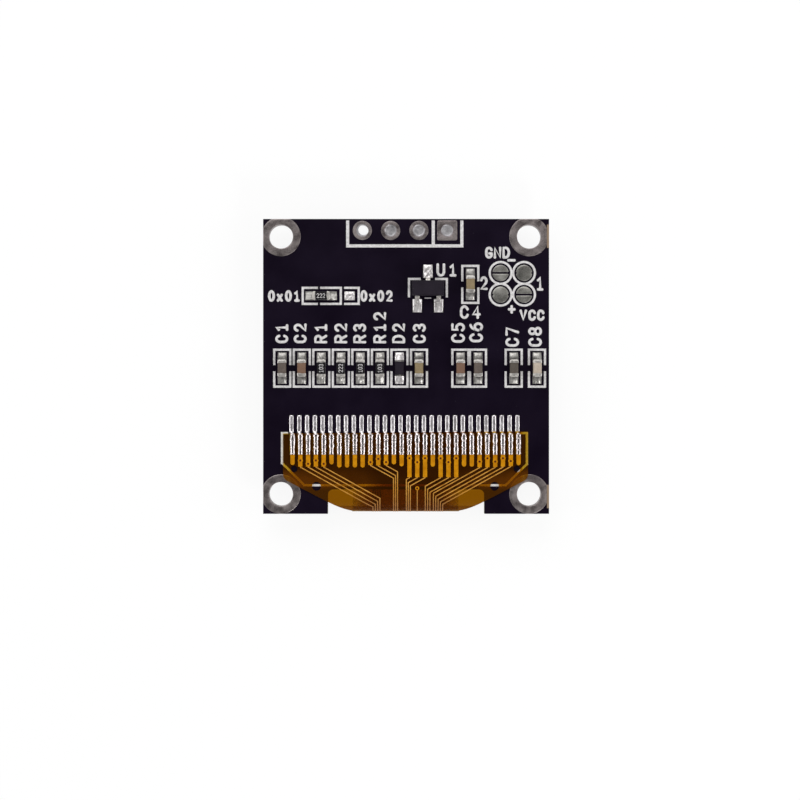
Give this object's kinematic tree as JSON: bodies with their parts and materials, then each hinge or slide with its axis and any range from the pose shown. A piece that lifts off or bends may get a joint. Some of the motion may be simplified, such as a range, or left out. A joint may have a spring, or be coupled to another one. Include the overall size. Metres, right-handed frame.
{
  "type": "small OLED display module",
  "caption": "Small display module lying on its glass: dark circuit board with soldered chip parts, plated holes and an amber flex tail folded through a notch to the display glass.",
  "frame": {"origin": "centre of the circuit board outline, on the plane of the display face that the module lies on", "axes": "+Z out of the component side; +Y towards the pin header edge; +X to the right, seen from the component side"},
  "size_m": [0.0256, 0.0264, 0.0043],
  "materials": {
    "solder_mask": "glossy near-black solder mask over glass-fibre board",
    "tin_plating": "dull hot-air-levelled tin",
    "solder": "bright uneven solder",
    "legend_ink": "matt white printed ink",
    "capacitor_ceramic": "matt sintered ceramic",
    "resistor_glaze": "black glaze",
    "moulding_compound": "matt black moulding compound",
    "polarizing_film": "smooth dark film",
    "display_glass": "polished glass",
    "display_layers": "dark thin layers",
    "seal_resin": "cured resin",
    "desiccant_sheet": "matt white sheet",
    "silicon": "polished silicon",
    "foam_tape": "soft closed-cell foam",
    "polyimide": "translucent amber film",
    "flex_copper": "copper under amber film"
  },
  "bodies": {
    "root": {"circuit_board": "solder_mask", "mounting_pads": "tin_plating", "header_pads": "tin_plating", "header_solder": "solder", "solder_jumper_pads": "tin_plating", "component_lands": "solder", "flex_lands": "solder", "silkscreen": "legend_ink", "solder_fillets": "solder", "capacitor_1_body": "capacitor_ceramic", "capacitor_1_ends": "solder", "capacitor_2_body": "capacitor_ceramic", "capacitor_2_ends": "solder", "capacitor_3_body": "capacitor_ceramic", "capacitor_3_ends": "solder", "capacitor_4_body": "capacitor_ceramic", "capacitor_4_ends": "solder", "capacitor_5_body": "capacitor_ceramic", "capacitor_5_ends": "solder", "capacitor_6_body": "capacitor_ceramic", "capacitor_6_ends": "solder", "capacitor_7_body": "capacitor_ceramic", "capacitor_7_ends": "solder", "capacitor_8_body": "capacitor_ceramic", "capacitor_8_ends": "solder", "resistor_1_body": "resistor_glaze", "resistor_1_ends": "solder", "resistor_2_body": "resistor_glaze", "resistor_2_ends": "solder", "resistor_3_body": "resistor_glaze", "resistor_3_ends": "solder", "resistor_4_body": "resistor_glaze", "resistor_4_ends": "solder", "resistor_5_body": "resistor_glaze", "resistor_5_ends": "solder", "diode_body": "moulding_compound", "diode_leads": "solder", "regulator_body": "moulding_compound", "regulator_leads": "solder", "polarizer": "polarizing_film", "front_glass": "display_glass", "oled_layer": "display_layers", "edge_seal": "seal_resin", "desiccant": "desiccant_sheet", "rear_glass": "display_glass", "driver_chip": "silicon", "foam_tape": "foam_tape", "flex_bond": "seal_resin", "flex_film": "polyimide", "flex_fingers": "flex_copper", "flex_traces": "flex_copper", "flex_solder": "solder"}
  },
  "joints": []
}
